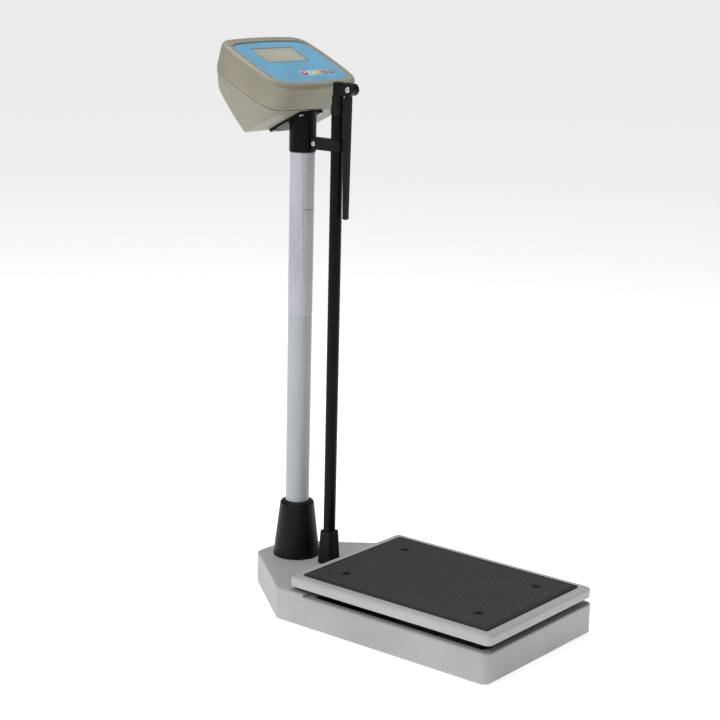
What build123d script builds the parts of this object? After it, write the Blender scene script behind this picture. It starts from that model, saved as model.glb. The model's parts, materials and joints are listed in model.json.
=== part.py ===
from build123d import *
from math import atan2, cos, radians, sin
import os

os.makedirs("parts", exist_ok=True)

# Electronic column scale for a doctor's surgery, in millimetres.
# +Z is up, +X is to the right of a person who stands on the platform and faces the column, and
# +Y runs from the platform to the column. The origin is on the floor, midway along the object.

# ---------------------------------------------------------------- driving dimensions
clear = 0.1                  # radial room round a screw, and between pieces fixed together
running = 0.05               # radial room of a sliding or turning fit

base_width = 285.0
base_front = -293.0
base_straight_end = 102.0    # where the long sides turn in towards the rear
base_rear = 239.0
base_rear_width = 71.0
base_corner = 12.0
base_underside = 3.0
rim_top = 49.0
deck_top = 53.0
deck_step = 50.0             # the deck starts here, under the rear of the platform
housing_wall = 3.0
lip_width = 14.0
well_rear = 38.0

plate_bottom = 8.0
plate_thickness = 3.0
plate_top = plate_bottom + plate_thickness

platform_y = -105.5
cover_width = 275.0
cover_length = 375.0
cover_bottom = 60.0
cover_top = 75.0
cover_sheet = 2.0
mat_inset = 15.0
mat_thickness = 2.2
cover_screw_x = 75.0
cover_screw_y = 125.0

column_y = 185.0
tube_radius = 19.0
tube_wall = 2.0
tube_bottom = 56.0
tube_top = 748.0
film_bottom = 452.0
film_top = 708.4
film_thickness = 0.25

sleeve_radius = 21.0
sleeve_bottom = 708.7
bracket_plate = 4.0

rod_y = 116.3
rod_outer_radius = 9.5
rod_outer_bore = 8.3
rod_middle_radius = 7.7
rod_middle_bore = 6.7
rod_inner_radius = 6.0
rod_inner_bore = 5.0
rod_outer_bottom = 60.0
rod_outer_top = 783.0
rod_foot_top = 107.0

pivot_y = 90.7
pivot_z = 809.8
head_bottom = 800.0
head_top = 820.0

panel_tilt = 26.0
panel_y = 210.5
panel_z = 844.5
case_wall = 2.5
seam_depth = 43.0

cable_radius = 2.5
cable_bend = 20.0
cable_height = 30.0

# ---------------------------------------------------------------- console axes
lean = radians(panel_tilt)
panel_plane = Plane(origin=(0, panel_y, panel_z), x_dir=(1, 0, 0), z_dir=(0, -sin(lean), cos(lean)))


def side_point(along, height):
    """The (y, z) of a point given along the panel, up towards the rear, and off its face."""
    return (panel_y + along * cos(lean) - height * sin(lean),
            panel_z + along * sin(lean) + height * cos(lean))


belly_rear = (-24.0, -107.0)       # the lowest edge of the console, seen from the side
belly_front = (-70.0, -seam_depth - 2)
shoulder = (84.0, -49.7)
front_y, front_z = side_point(*belly_front)
rear_y, rear_z = side_point(*belly_rear)
belly_angle = atan2(front_z - rear_z, rear_y - front_y)
bracket_z = front_z - (column_y - front_y) * (front_z - rear_z) / (rear_y - front_y)
bracket_plane = Plane(origin=(0, column_y, bracket_z), x_dir=(1, 0, 0),
                      z_dir=(0, sin(belly_angle), cos(belly_angle)))


# ---------------------------------------------------------------- helpers
def save(piece, name):
    """Label a finished piece and write it as its own STEP file."""
    piece.part.label = name
    export_step(piece.part, f"parts/{name}.step")


def upward(x, y, z):
    """A plane that faces up at a point."""
    return Plane(origin=(x, y, z), x_dir=(1, 0, 0), z_dir=(0, 0, 1))


def downward(x, y, z):
    """A plane that faces down at a point."""
    return Plane(origin=(x, y, z), x_dir=(1, 0, 0), z_dir=(0, 0, -1))


def mirrored_points(x, y, centre_y=0.0):
    """Four (x, y) points, mirrored left to right and front to rear about a centre."""
    return [(sx * x, centre_y + sy * y) for sx in (-1, 1) for sy in (-1, 1)]


def screws(name, places, shank, length, head, head_height, slot=True):
    """Identical screws as one node. Each place lies under the head and faces out of it."""
    with BuildPart() as group:
        for place in places:
            with BuildSketch(place):
                Circle(head)
            extrude(amount=head_height)
            fillet(group.edges(Select.LAST).filter_by(GeomType.CIRCLE).sort_by(
                lambda edge: -place.to_local_coords(edge.center()).Z)[0], head_height * 0.4)
            with BuildSketch(place):
                Circle(shank)
            extrude(amount=-length)
            if slot:
                with BuildSketch(place.offset(head_height)):
                    Rectangle(head * 1.1, head * 0.28)
                    Rectangle(head * 0.28, head * 1.1)
                extrude(amount=-head_height * 0.55, mode=Mode.SUBTRACT)
            else:
                with BuildSketch(place.offset(head_height)):
                    RegularPolygon(head * 0.5, 6)
                extrude(amount=-head_height * 0.6, mode=Mode.SUBTRACT)
    save(group, name)
    return group


def base_plan(inset, height):
    """Plan of the base: a rectangle whose rear corners are cut back to a short rear edge."""
    half, rear_half = base_width / 2, base_rear_width / 2
    with BuildSketch(Plane.XY.offset(height)) as plan:
        with BuildLine():
            Polyline((-half, base_front), (half, base_front), (half, base_straight_end),
                     (rear_half, base_rear), (-rear_half, base_rear), (-half, base_straight_end),
                     close=True)
        make_face()
        fillet(plan.vertices(), base_corner)
        if inset:
            offset(amount=-inset)
    return plan.sketch


def bowed_face(plane, half_width, half_height, bow, corner, shift=0.0):
    """A four-sided face whose sides bow outwards, with rounded corners."""
    w, low, high = half_width, shift - half_height, shift + half_height
    with BuildSketch(plane) as face:
        with BuildLine():
            ThreePointArc((-w, low), (0, low - bow), (w, low))
            ThreePointArc((w, low), (w + bow, shift), (w, high))
            ThreePointArc((w, high), (0, high + bow), (-w, high))
            ThreePointArc((-w, high), (-w - bow, shift), (-w, low))
        make_face()
        fillet(face.vertices(), corner)
    return face.sketch


# ---------------------------------------------------------------- base
housing_posts = ([(x, y) for x in (-132, 132) for y in (-268, -110, 40)]
                 + [(x, y) for x in (-20, 20) for y in (226,)])
post_radius = 4.5
post_hole = 1.5
foot_points = [(-112, -258), (112, -258), (-66, 156), (66, 156)]
stud_radius = 4.0
column_bolt_circle = 27.0
column_bolt_radius = 2.5
column_cable_hole = 12.0
rod_screw_offset = 9.5
rod_screw_radius = 1.5

with BuildPart() as base_housing:
    extrude(base_plan(0, base_underside), amount=deck_top - base_underside)
    with BuildSketch(Plane.XY.offset(rim_top)):
        with Locations((0, (base_front - 20 + deck_step) / 2)):
            Rectangle(base_width + 20, deck_step - base_front + 20)
    extrude(amount=deck_top, mode=Mode.SUBTRACT)
    top_edges = base_housing.edges().filter_by(
        lambda e: e.center().Z > rim_top - 1 and abs(e.center().Y - deck_step) > 0.5)
    fillet(top_edges, 3.0)
    extrude(base_plan(housing_wall, base_underside),
            amount=rim_top - housing_wall - base_underside, mode=Mode.SUBTRACT)
    with BuildSketch(Plane.XY.offset(rim_top - housing_wall)):
        add(base_plan(housing_wall, 0))
        with Locations((0, deck_step + housing_wall - 500)):
            Rectangle(1000, 1000, mode=Mode.SUBTRACT)
    extrude(amount=deck_top - rim_top, mode=Mode.SUBTRACT)
    with BuildSketch(Plane.XY.offset(rim_top - 10)):
        with Locations((0, (base_front + lip_width + well_rear) / 2)):
            RectangleRounded(base_width - 2 * lip_width, well_rear - base_front - lip_width, 8)
    extrude(amount=20, mode=Mode.SUBTRACT)
    lip_edges = base_housing.edges().filter_by(
        lambda e: abs(e.center().Z - rim_top) < 0.1
        and abs(e.center().X) < base_width / 2 - lip_width + 1
        and base_front + lip_width - 1 < e.center().Y < well_rear + 1)
    chamfer(lip_edges, 2.0)
    for x, y in housing_posts:
        with BuildSketch(upward(x, y, plate_top)):
            Circle(post_radius)
        extrude(amount=(deck_top if y > deck_step else rim_top) - housing_wall + 0.5 - plate_top)
    with BuildSketch(Plane.XY.offset(plate_top)):
        with Locations(*housing_posts):
            Circle(post_hole + clear)
    extrude(amount=22, mode=Mode.SUBTRACT)
    with BuildSketch(Plane.XY.offset(deck_top)):
        with Locations((0, column_y)):
            Circle(column_cable_hole)
            with PolarLocations(column_bolt_circle, 4, 45):
                Circle(column_bolt_radius + clear)
        with Locations(*[(sx * rod_screw_offset, rod_y + sx * rod_screw_offset) for sx in (-1, 1)]):
            Circle(rod_screw_radius + clear)
    extrude(amount=-10, mode=Mode.SUBTRACT)
save(base_housing, "base_housing")

cell_width = 36.0
cell_length = 150.0
cell_height = 30.0
cell_bottom = 17.0
cell_top = cell_bottom + cell_height
cell_bolt_spread = 26.0
cell_bolt_radius = 4.0
fixed_end_y = platform_y + 53.0
free_end_y = platform_y - 53.0
spacer_length = 44.0
stop_points = mirrored_points(cover_screw_x, 130.0, platform_y)
stand_bolt_points = mirrored_points(37.5, 27.0, column_y)
stand_bolt_radius = 2.5

with BuildPart() as base_plate:
    extrude(base_plan(housing_wall + 0.4, plate_bottom), amount=plate_thickness)
    with BuildSketch(Plane.XY.offset(plate_bottom)):
        with Locations(*foot_points):
            Circle(stud_radius + 0.4)
        with Locations(*housing_posts):
            Circle(post_hole + clear)
        with Locations(*stop_points):
            Circle(cell_bolt_radius + clear)
        with Locations(*stand_bolt_points):
            Circle(stand_bolt_radius + clear)
        with Locations(*[(0, fixed_end_y + s * cell_bolt_spread / 2) for s in (-1, 1)]):
            Circle(cell_bolt_radius + clear)
    extrude(amount=plate_thickness, mode=Mode.SUBTRACT)
    with BuildSketch(Plane.XY.offset(plate_top)):
        with Locations((-30, 30), (30, 30)):
            RectangleRounded(10, 150, 4.9)
    extrude(amount=2.0)
save(base_plate, "base_plate")

screws("housing_screws", [downward(x, y, plate_bottom) for x, y in housing_posts],
       post_hole, 20.0, 3.0, 2.0)

for number, (x, y) in enumerate(foot_points, start=1):
    with BuildPart() as levelling_foot:
        with BuildSketch(upward(x, y, 0)):
            Circle(14)
        extrude(amount=4.0)
        chamfer(levelling_foot.edges().group_by(Axis.Z)[0], 0.8)
        with BuildSketch(upward(x, y, 4.0)):
            RegularPolygon(7.5, 6)
        extrude(amount=3.4)
        with BuildSketch(upward(x, y, 7.0)):
            Circle(stud_radius)
        extrude(amount=23.0)
        chamfer(levelling_foot.edges().group_by(Axis.Z)[-1], 0.8)
    save(levelling_foot, f"levelling_foot_{number}")

with BuildPart() as foot_nuts:
    with BuildSketch(Plane.XY.offset(plate_top)):
        with Locations(*foot_points):
            RegularPolygon(7.5, 6)
            Circle(stud_radius + running, mode=Mode.SUBTRACT)
    extrude(amount=6.5)
save(foot_nuts, "foot_nuts")

# ---------------------------------------------------------------- weighing mechanism
with BuildPart() as lower_spacer:
    with BuildSketch(Plane.XY.offset(plate_top)):
        with Locations((0, fixed_end_y)):
            Rectangle(cell_width, spacer_length)
            with GridLocations(1, cell_bolt_spread, 1, 2):
                Circle(cell_bolt_radius + clear, mode=Mode.SUBTRACT)
    extrude(amount=cell_bottom - plate_top)
save(lower_spacer, "lower_spacer")

frame_bottom = 55.0
frame_bar = 11.0
cushion_top = cover_top - cover_sheet

with BuildPart() as load_cell:
    with BuildSketch(Plane.XY.offset(cell_bottom)):
        with Locations((0, platform_y)):
            Rectangle(cell_width, cell_length)
    extrude(amount=cell_height)
    fillet(load_cell.edges().filter_by(Axis.Z), 2.0)
    with BuildSketch(Plane.YZ.offset(-cell_width / 2)):
        with Locations(*[(platform_y + s * 15, cell_bottom + cell_height / 2) for s in (-1, 1)]):
            Circle(11)
        with Locations((platform_y, cell_bottom + cell_height / 2)):
            Rectangle(30, 9)
    extrude(amount=cell_width, mode=Mode.SUBTRACT)
    with BuildSketch(Plane.XY.offset(cell_bottom)):
        with Locations((0, fixed_end_y)):
            with GridLocations(1, cell_bolt_spread, 1, 2):
                Circle(cell_bolt_radius + clear)
    extrude(amount=18, mode=Mode.SUBTRACT)
    with BuildSketch(Plane.XY.offset(cell_top)):
        with Locations((0, free_end_y)):
            with GridLocations(1, cell_bolt_spread, 1, 2):
                Circle(cell_bolt_radius + clear)
    extrude(amount=-18, mode=Mode.SUBTRACT)
save(load_cell, "load_cell")

with BuildPart() as upper_spacer:
    with BuildSketch(Plane.XY.offset(cell_top)):
        with Locations((0, free_end_y)):
            Rectangle(cell_width, spacer_length)
            with GridLocations(1, cell_bolt_spread, 1, 2):
                Circle(cell_bolt_radius + clear, mode=Mode.SUBTRACT)
    extrude(amount=frame_bottom - cell_top)
save(upper_spacer, "upper_spacer")

bolt_rows = [-cell_bolt_spread / 2, cell_bolt_spread / 2]
screws("lower_cell_bolts", [downward(0, fixed_end_y + s, plate_bottom) for s in bolt_rows],
       cell_bolt_radius, 24.0, 6.5, 4.4, slot=False)
centre_plate = 4.0
screws("upper_cell_bolts", [upward(0, free_end_y + s, frame_bottom + centre_plate) for s in bolt_rows],
       cell_bolt_radius, 26.0, 6.5, 6.0, slot=False)

with BuildPart() as overload_stops:
    for x, y in stop_points:
        with BuildSketch(upward(x, y, plate_bottom)):
            Circle(cell_bolt_radius)
        extrude(amount=frame_bottom - 1.2 - plate_bottom)
        with BuildSketch(upward(x, y, plate_top)):
            RegularPolygon(7.0, 6)
        extrude(amount=6.5)
save(overload_stops, "overload_stops")

# The frame's top is 7 mm under the cover, so a welded boss stands round each cover screw.
bar_width = 24.0
cushion_x = 104.0
cushion_y = 150.0
with BuildPart() as platform_frame:
    with BuildSketch(Plane.XY.offset(frame_bottom)):
        with Locations((0, platform_y)):
            with GridLocations(2 * cover_screw_x, 1, 2, 1):
                Rectangle(bar_width, 330)
            with GridLocations(1, 2 * cover_screw_y, 1, 2):
                Rectangle(232, bar_width)
    extrude(amount=frame_bar)
    with BuildSketch(Plane.XY.offset(frame_bottom)):
        with Locations((0, platform_y - 30)):
            Rectangle(2 * cover_screw_x, 110)
    extrude(amount=centre_plate)
    with BuildSketch(Plane.XY.offset(frame_bottom + frame_bar)):
        with Locations(*mirrored_points(cover_screw_x, cover_screw_y, platform_y)):
            Circle(6.0)
    extrude(amount=cushion_top - frame_bottom - frame_bar)
    with BuildSketch(Plane.XY.offset(frame_bottom)):
        with Locations((0, free_end_y)):
            with GridLocations(1, cell_bolt_spread, 1, 2):
                Circle(cell_bolt_radius + clear)
        with Locations(*mirrored_points(cover_screw_x, cover_screw_y, platform_y)):
            Circle(2.5 + clear)
    extrude(amount=cushion_top - frame_bottom, mode=Mode.SUBTRACT)
save(platform_frame, "platform_frame")

with BuildPart() as platform_cushions:
    with BuildSketch(Plane.XY.offset(frame_bottom + frame_bar)):
        with Locations(*(mirrored_points(cushion_x, cover_screw_y, platform_y)
                         + mirrored_points(cover_screw_x, cushion_y, platform_y))):
            Circle(8.0)
    extrude(amount=cushion_top - frame_bottom - frame_bar)
save(platform_cushions, "platform_cushions")

with BuildPart() as platform_cover:
    with BuildSketch(Plane.XY.offset(cover_bottom)):
        with Locations((0, platform_y)):
            RectangleRounded(cover_width, cover_length, 9)
    extrude(amount=cover_top - cover_bottom)
    fillet(platform_cover.edges().group_by(Axis.Z)[-1], 4.0)
    with BuildSketch(Plane.XY.offset(cover_bottom)):
        with Locations((0, platform_y)):
            RectangleRounded(cover_width - 2 * cover_sheet, cover_length - 2 * cover_sheet, 7)
    extrude(amount=cover_top - cover_bottom - cover_sheet, mode=Mode.SUBTRACT)
    with BuildSketch(Plane.XY.offset(cover_top)):
        with Locations(*mirrored_points(cover_screw_x, cover_screw_y, platform_y)):
            Circle(2.5 + clear)
    extrude(amount=-cover_sheet, mode=Mode.SUBTRACT)
save(platform_cover, "platform_cover")

screws("cover_screws", [upward(x, y, cover_top) for x, y in
                        mirrored_points(cover_screw_x, cover_screw_y, platform_y)],
       2.5, 19.0, 4.5, 1.4)

plug_radius = 5.5
with BuildPart() as platform_mat:
    with BuildSketch(Plane.XY.offset(cover_top)):
        with Locations((0, platform_y)):
            RectangleRounded(cover_width - 2 * mat_inset, cover_length - 2 * mat_inset, 4)
        with Locations(*mirrored_points(cover_screw_x, cover_screw_y, platform_y)):
            Circle(plug_radius + clear, mode=Mode.SUBTRACT)
    extrude(amount=mat_thickness)
    chamfer(platform_mat.edges().filter_by(
        lambda e: e.center().Z > cover_top + mat_thickness - 0.1
        and e.geom_type != GeomType.CIRCLE or e.length > 200), 0.6)
save(platform_mat, "platform_mat")

with BuildPart() as mat_plugs:
    for x, y in mirrored_points(cover_screw_x, cover_screw_y, platform_y):
        with BuildSketch(upward(x, y, cover_top)):
            Circle(plug_radius)
        extrude(amount=mat_thickness - 0.3)
        with BuildSketch(upward(x, y, cover_top)):
            Circle(4.6)
        extrude(amount=1.5, mode=Mode.SUBTRACT)
save(mat_plugs, "mat_plugs")

# ---------------------------------------------------------------- column
stand_half = 32.0
stand_length = 72.0
stand_sheet = 4.0
with BuildPart() as column_stand:
    with BuildSketch(Plane.XZ.offset(-(column_y + stand_length / 2))):
        with BuildLine():
            bottom, top = plate_top, deck_top - housing_wall
            outer, inner, toe = stand_half, stand_half - stand_sheet, stand_half + 12
            Polyline((-toe, bottom), (-inner, bottom), (-inner, top - stand_sheet),
                     (inner, top - stand_sheet), (inner, bottom), (toe, bottom),
                     (toe, bottom + 3), (outer, bottom + 3), (outer, top), (-outer, top),
                     (-outer, bottom + 3), (-toe, bottom + 3), close=True)
        make_face()
    extrude(amount=stand_length)
    with BuildSketch(Plane.XY.offset(top)):
        with Locations((0, column_y)):
            Circle(column_cable_hole)
            with PolarLocations(column_bolt_circle, 4, 45):
                Circle(column_bolt_radius + clear)
    extrude(amount=-stand_sheet, mode=Mode.SUBTRACT)
    with BuildSketch(Plane.XY.offset(bottom)):
        with Locations(*stand_bolt_points):
            Circle(stand_bolt_radius + clear)
    extrude(amount=3, mode=Mode.SUBTRACT)
save(column_stand, "column_stand")

screws("stand_bolts", [upward(x, y, plate_top + 3) for x, y in stand_bolt_points],
       stand_bolt_radius, 8.0, 4.3, 3.0, slot=False)

flange_top = deck_top + 6.0
with BuildPart() as column_socket:
    with BuildSketch(Plane.XY.offset(deck_top)):
        with Locations((0, column_y)):
            Circle(32)
    extrude(amount=flange_top - deck_top)
    with BuildSketch(Plane.XY.offset(flange_top)):
        with Locations((0, column_y)):
            Circle(21.8)
    extrude(amount=38)
    with BuildSketch(Plane.XY.offset(deck_top)):
        with Locations((0, column_y)):
            Circle(column_cable_hole)
            with PolarLocations(column_bolt_circle, 4, 45):
                Circle(column_bolt_radius + clear)
    extrude(amount=flange_top - deck_top, mode=Mode.SUBTRACT)
    with BuildSketch(Plane.XY.offset(tube_bottom)):
        with Locations((0, column_y)):
            Circle(tube_radius + running)
    extrude(amount=60, mode=Mode.SUBTRACT)
save(column_socket, "column_socket")

bolt_ring = [(column_bolt_circle * cos(radians(a)), column_y + column_bolt_circle * sin(radians(a)))
             for a in (45, 135, 225, 315)]
screws("column_bolts", [upward(x, y, flange_top) for x, y in bolt_ring],
       column_bolt_radius, 18.0, 4.2, 3.2, slot=False)

with BuildPart() as column_tube:
    with BuildSketch(Plane.XY.offset(tube_bottom)):
        with Locations((0, column_y)):
            Circle(tube_radius)
            Circle(tube_radius - tube_wall, mode=Mode.SUBTRACT)
    extrude(amount=tube_top - tube_bottom)
save(column_tube, "column_tube")

with BuildPart() as column_film:
    with BuildSketch(Plane.XY.offset(film_bottom)):
        with Locations((0, column_y)):
            Circle(tube_radius + film_thickness)
            Circle(tube_radius, mode=Mode.SUBTRACT)
    extrude(amount=film_top - film_bottom)
save(column_film, "column_film")

cone_top = 145.0
cone_plane = Plane(origin=(0, column_y, 0), x_dir=(1, 0, 0), z_dir=(0, -1, 0))
with BuildPart() as column_cone:
    with BuildSketch(cone_plane):
        with BuildLine():
            bore = tube_radius + 0.3
            Line((34.6, deck_top), (37.6, deck_top))
            Line((37.6, deck_top), (27.4, cone_top - 5))
            RadiusArc((27.4, cone_top - 5), (22.6, cone_top - 1), -5)
            Line((22.6, cone_top - 1), (21.4, cone_top))
            Line((21.4, cone_top), (bore, cone_top))
            Line((bore, cone_top), (bore, cone_top - 6))
            Line((bore, cone_top - 6), (24.6, cone_top - 9))
            Line((24.6, cone_top - 9), (34.6, deck_top))
        make_face()
    revolve(axis=Axis((0, column_y, 0), (0, 0, 1)))
save(column_cone, "column_cone")

# ---------------------------------------------------------------- console bracket
lug_half = 4.0
lug_front = 148.0
clamp_bottom = 714.6
clamp_top = 732.5
clamp_middle = (clamp_bottom + clamp_top) / 2
clamp_screw_y = 156.0
bracket_screws = [(x, along) for x in (-21.5, 21.5) for along in (-14, 46)]

with BuildPart() as head_bracket:
    with BuildSketch(Plane.XY.offset(sleeve_bottom)):
        with Locations((0, column_y)):
            Circle(sleeve_radius)
    extrude(amount=100)
    split(bisect_by=bracket_plane.offset(-bracket_plate / 2), keep=Keep.BOTTOM)
    fillet(head_bracket.edges().group_by(Axis.Z)[0], 1.2)
    with BuildSketch(bracket_plane.offset(-bracket_plate)):
        with Locations((0, 17)):
            RectangleRounded(56, 73, 5)
    extrude(amount=bracket_plate)
    with BuildSketch(Plane.XY.offset(clamp_bottom + 2)):
        with Locations((0, (lug_front + column_y - 19) / 2)):
            Rectangle(2 * lug_half, column_y - 19 - lug_front)
    extrude(amount=clamp_top - clamp_bottom - 4)
    with BuildSketch(Plane.YZ.offset(-lug_half)):
        with Locations((clamp_screw_y, clamp_middle)):
            Circle(2.0 + clear)
    extrude(amount=2 * lug_half, mode=Mode.SUBTRACT)
    with BuildSketch(Plane.XY.offset(sleeve_bottom)):
        with Locations((0, column_y)):
            Circle(tube_radius + running)
    extrude(amount=tube_top + 0.2 - sleeve_bottom, mode=Mode.SUBTRACT)
    with BuildSketch(Plane.XY.offset(tube_top)):
        with Locations((0, column_y)):
            Circle(column_cable_hole)
    extrude(amount=60, mode=Mode.SUBTRACT)
    with BuildSketch(bracket_plane):
        with Locations(*bracket_screws):
            Circle(2.0 + clear)
    extrude(amount=-bracket_plate, mode=Mode.SUBTRACT)
save(head_bracket, "head_bracket")

under_plate = Plane(origin=bracket_plane.offset(-bracket_plate).origin, x_dir=(1, 0, 0),
                    z_dir=-bracket_plane.z_dir)
screws("bracket_screws",
       [Plane(origin=under_plate.from_local_coords(Vector(x, -along, 0)), x_dir=(1, 0, 0),
              z_dir=under_plate.z_dir) for x, along in bracket_screws],
       2.0, 10.0, 3.6, 2.0)

ring_radius = 11.4
clamp_rear = 163.4
clamp_width = 16.0
with BuildPart() as rod_clamp:
    with BuildSketch(Plane.XY.offset(clamp_bottom)):
        with Locations((0, rod_y)):
            Circle(ring_radius)
        with Locations((0, (rod_y + clamp_rear) / 2)):
            Rectangle(clamp_width, clamp_rear - rod_y)
    extrude(amount=clamp_top - clamp_bottom)
    fillet(rod_clamp.edges().filter_by(Axis.Z).filter_by(lambda e: e.center().Y > rod_y + 40), 2.0)
    with BuildSketch(Plane.XY.offset(clamp_bottom)):
        with Locations((0, rod_y)):
            Circle(rod_outer_radius + running)
        with Locations((0, lug_front - 0.3 + 10)):
            Rectangle(2 * (lug_half + clear), 20.6)
    extrude(amount=clamp_top - clamp_bottom, mode=Mode.SUBTRACT)
    with BuildSketch(Plane.YZ.offset(-clamp_width / 2)):
        with Locations((clamp_screw_y, clamp_middle)):
            Circle(2.0 + clear)
    extrude(amount=clamp_width, mode=Mode.SUBTRACT)
save(rod_clamp, "rod_clamp")

screws("clamp_screw", [Plane(origin=(-clamp_width / 2, clamp_screw_y, clamp_middle),
                             x_dir=(0, -1, 0), z_dir=(-1, 0, 0))], 2.0, 15.5, 3.8, 2.2)

# ---------------------------------------------------------------- height rod
with BuildPart() as rod_foot:
    with BuildSketch(upward(0, rod_y, deck_top)) as foot_low:
        RectangleRounded(28, 28, 5)
    with BuildSketch(upward(0, rod_y, rod_foot_top)) as foot_high:
        RectangleRounded(23, 23, 5)
    loft()
    fillet(rod_foot.edges().group_by(Axis.Z)[-1], 1.0)
    with BuildSketch(upward(0, rod_y, rod_outer_bottom)):
        Circle(rod_outer_radius + running)
    extrude(amount=60, mode=Mode.SUBTRACT)
    with BuildSketch(upward(0, 0, deck_top)):
        with Locations(*[(s * rod_screw_offset, rod_y + s * rod_screw_offset) for s in (-1, 1)]):
            Circle(rod_screw_radius + clear)
    extrude(amount=12, mode=Mode.SUBTRACT)
save(rod_foot, "rod_foot")

screws("rod_foot_screws",
       [downward(s * rod_screw_offset, rod_y + s * rod_screw_offset, deck_top - housing_wall)
        for s in (-1, 1)], rod_screw_radius, 12.0, 2.9, 1.8)


def tube(name, outer, bore, bottom, top):
    """A plain tube on the height rod's axis."""
    with BuildPart() as piece:
        with BuildSketch(upward(0, rod_y, bottom)):
            Circle(outer)
            Circle(bore, mode=Mode.SUBTRACT)
        extrude(amount=top - bottom)
    save(piece, name)


middle_bottom = 78.0
middle_top = 797.0
inner_bottom = 98.0
inner_top = 814.0
tube("rod_outer_tube", rod_outer_radius, rod_outer_bore, rod_outer_bottom, rod_outer_top)
tube("rod_middle_tube", rod_middle_radius, rod_middle_bore, middle_bottom, middle_top)
tube("rod_inner_tube", rod_inner_radius, rod_inner_bore, inner_bottom, inner_top)


def collar(name, outer, bore, socket, bottom, top, socket_top, taper):
    """A cap pressed on one tube's top, with a bore that guides the next tube."""
    with BuildPart() as piece:
        with BuildSketch(upward(0, rod_y, bottom)):
            Circle(outer)
        extrude(amount=top - bottom)
        chamfer(piece.edges().group_by(Axis.Z)[0], taper)
        fillet(piece.edges().group_by(Axis.Z)[-1], 0.6)
        with BuildSketch(upward(0, rod_y, bottom)):
            Circle(socket)
        extrude(amount=socket_top - bottom, mode=Mode.SUBTRACT)
        with BuildSketch(upward(0, rod_y, socket_top)):
            Circle(bore)
        extrude(amount=top - socket_top, mode=Mode.SUBTRACT)
    save(piece, name)
    return piece


collar("outer_tube_collar", 10.4, rod_middle_radius + running, rod_outer_radius + 0.02,
       770.5, 785.2, rod_outer_top, 0.8)
collar("middle_tube_collar", 9.2, rod_inner_radius + running, rod_middle_radius + 0.02,
       785.5, head_bottom - 0.3, middle_top, 0.8)


def glide(name, outer, spigot, bottom, tube_end):
    """A plastic plug in the lower end of a sliding tube, which guides it in the next."""
    with BuildPart() as piece:
        with BuildSketch(upward(0, rod_y, bottom)):
            Circle(outer)
        extrude(amount=tube_end - bottom)
        with BuildSketch(upward(0, rod_y, tube_end)):
            Circle(spigot)
        extrude(amount=8)
    save(piece, name)
    return piece


glide("middle_tube_glide", rod_outer_bore - running, rod_middle_bore - 0.02, 66.0, middle_bottom)
glide("inner_tube_glide", rod_middle_bore - running, rod_inner_bore - 0.02, 88.0, inner_bottom)

cheek_inner = 4.4
cheek_outer = 8.0
cheek_radius = 9.2
pin_radius = 2.5
with BuildPart() as arm_head:
    with BuildSketch(upward(0, rod_y, head_bottom)):
        Circle(7.8)
    extrude(amount=head_top - head_bottom)
    chamfer(arm_head.edges().group_by(Axis.Z)[-1], 0.5)
    with BuildSketch(Plane.YZ.offset(-cheek_outer)):
        with Locations((pivot_y, pivot_z)):
            Circle(cheek_radius)
        with Locations(((pivot_y + rod_y) / 2, pivot_z)):
            Rectangle(rod_y - pivot_y, 2 * cheek_radius)
    extrude(amount=2 * cheek_outer)
    with BuildSketch(Plane.YZ.offset(-cheek_inner)):
        with Locations((pivot_y - 10, pivot_z)):
            Rectangle(39, 60)
    extrude(amount=2 * cheek_inner, mode=Mode.SUBTRACT)
    with BuildSketch(Plane.YZ.offset(-cheek_outer)):
        with Locations((pivot_y, pivot_z)):
            Circle(pin_radius + 0.02)
    extrude(amount=2 * cheek_outer, mode=Mode.SUBTRACT)
    with BuildSketch(upward(0, rod_y, head_bottom)):
        Circle(rod_inner_radius + 0.02)
    extrude(amount=inner_top - head_bottom, mode=Mode.SUBTRACT)
save(arm_head, "arm_head")

with BuildPart() as arm_pin:
    with BuildSketch(Plane.YZ.offset(-cheek_outer)):
        with Locations((pivot_y, pivot_z)):
            Circle(pin_radius)
    extrude(amount=2 * cheek_outer + 1.5)
    with BuildSketch(Plane.YZ.offset(-cheek_outer)):
        with Locations((pivot_y, pivot_z)):
            Circle(4.4)
    extrude(amount=-2.4)
    fillet(arm_pin.edges().group_by(Axis.X)[0], 1.0)
    with BuildSketch(Plane.YZ.offset(-cheek_outer - 2.4)):
        with Locations((pivot_y, pivot_z)):
            Rectangle(6.0, 1.0)
    extrude(amount=1.2, mode=Mode.SUBTRACT)
    with BuildSketch(Plane.YZ.offset(cheek_outer)):
        with Locations((pivot_y, pivot_z)):
            RegularPolygon(4.2, 6)
    extrude(amount=2.6)
save(arm_pin, "arm_pin")

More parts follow.
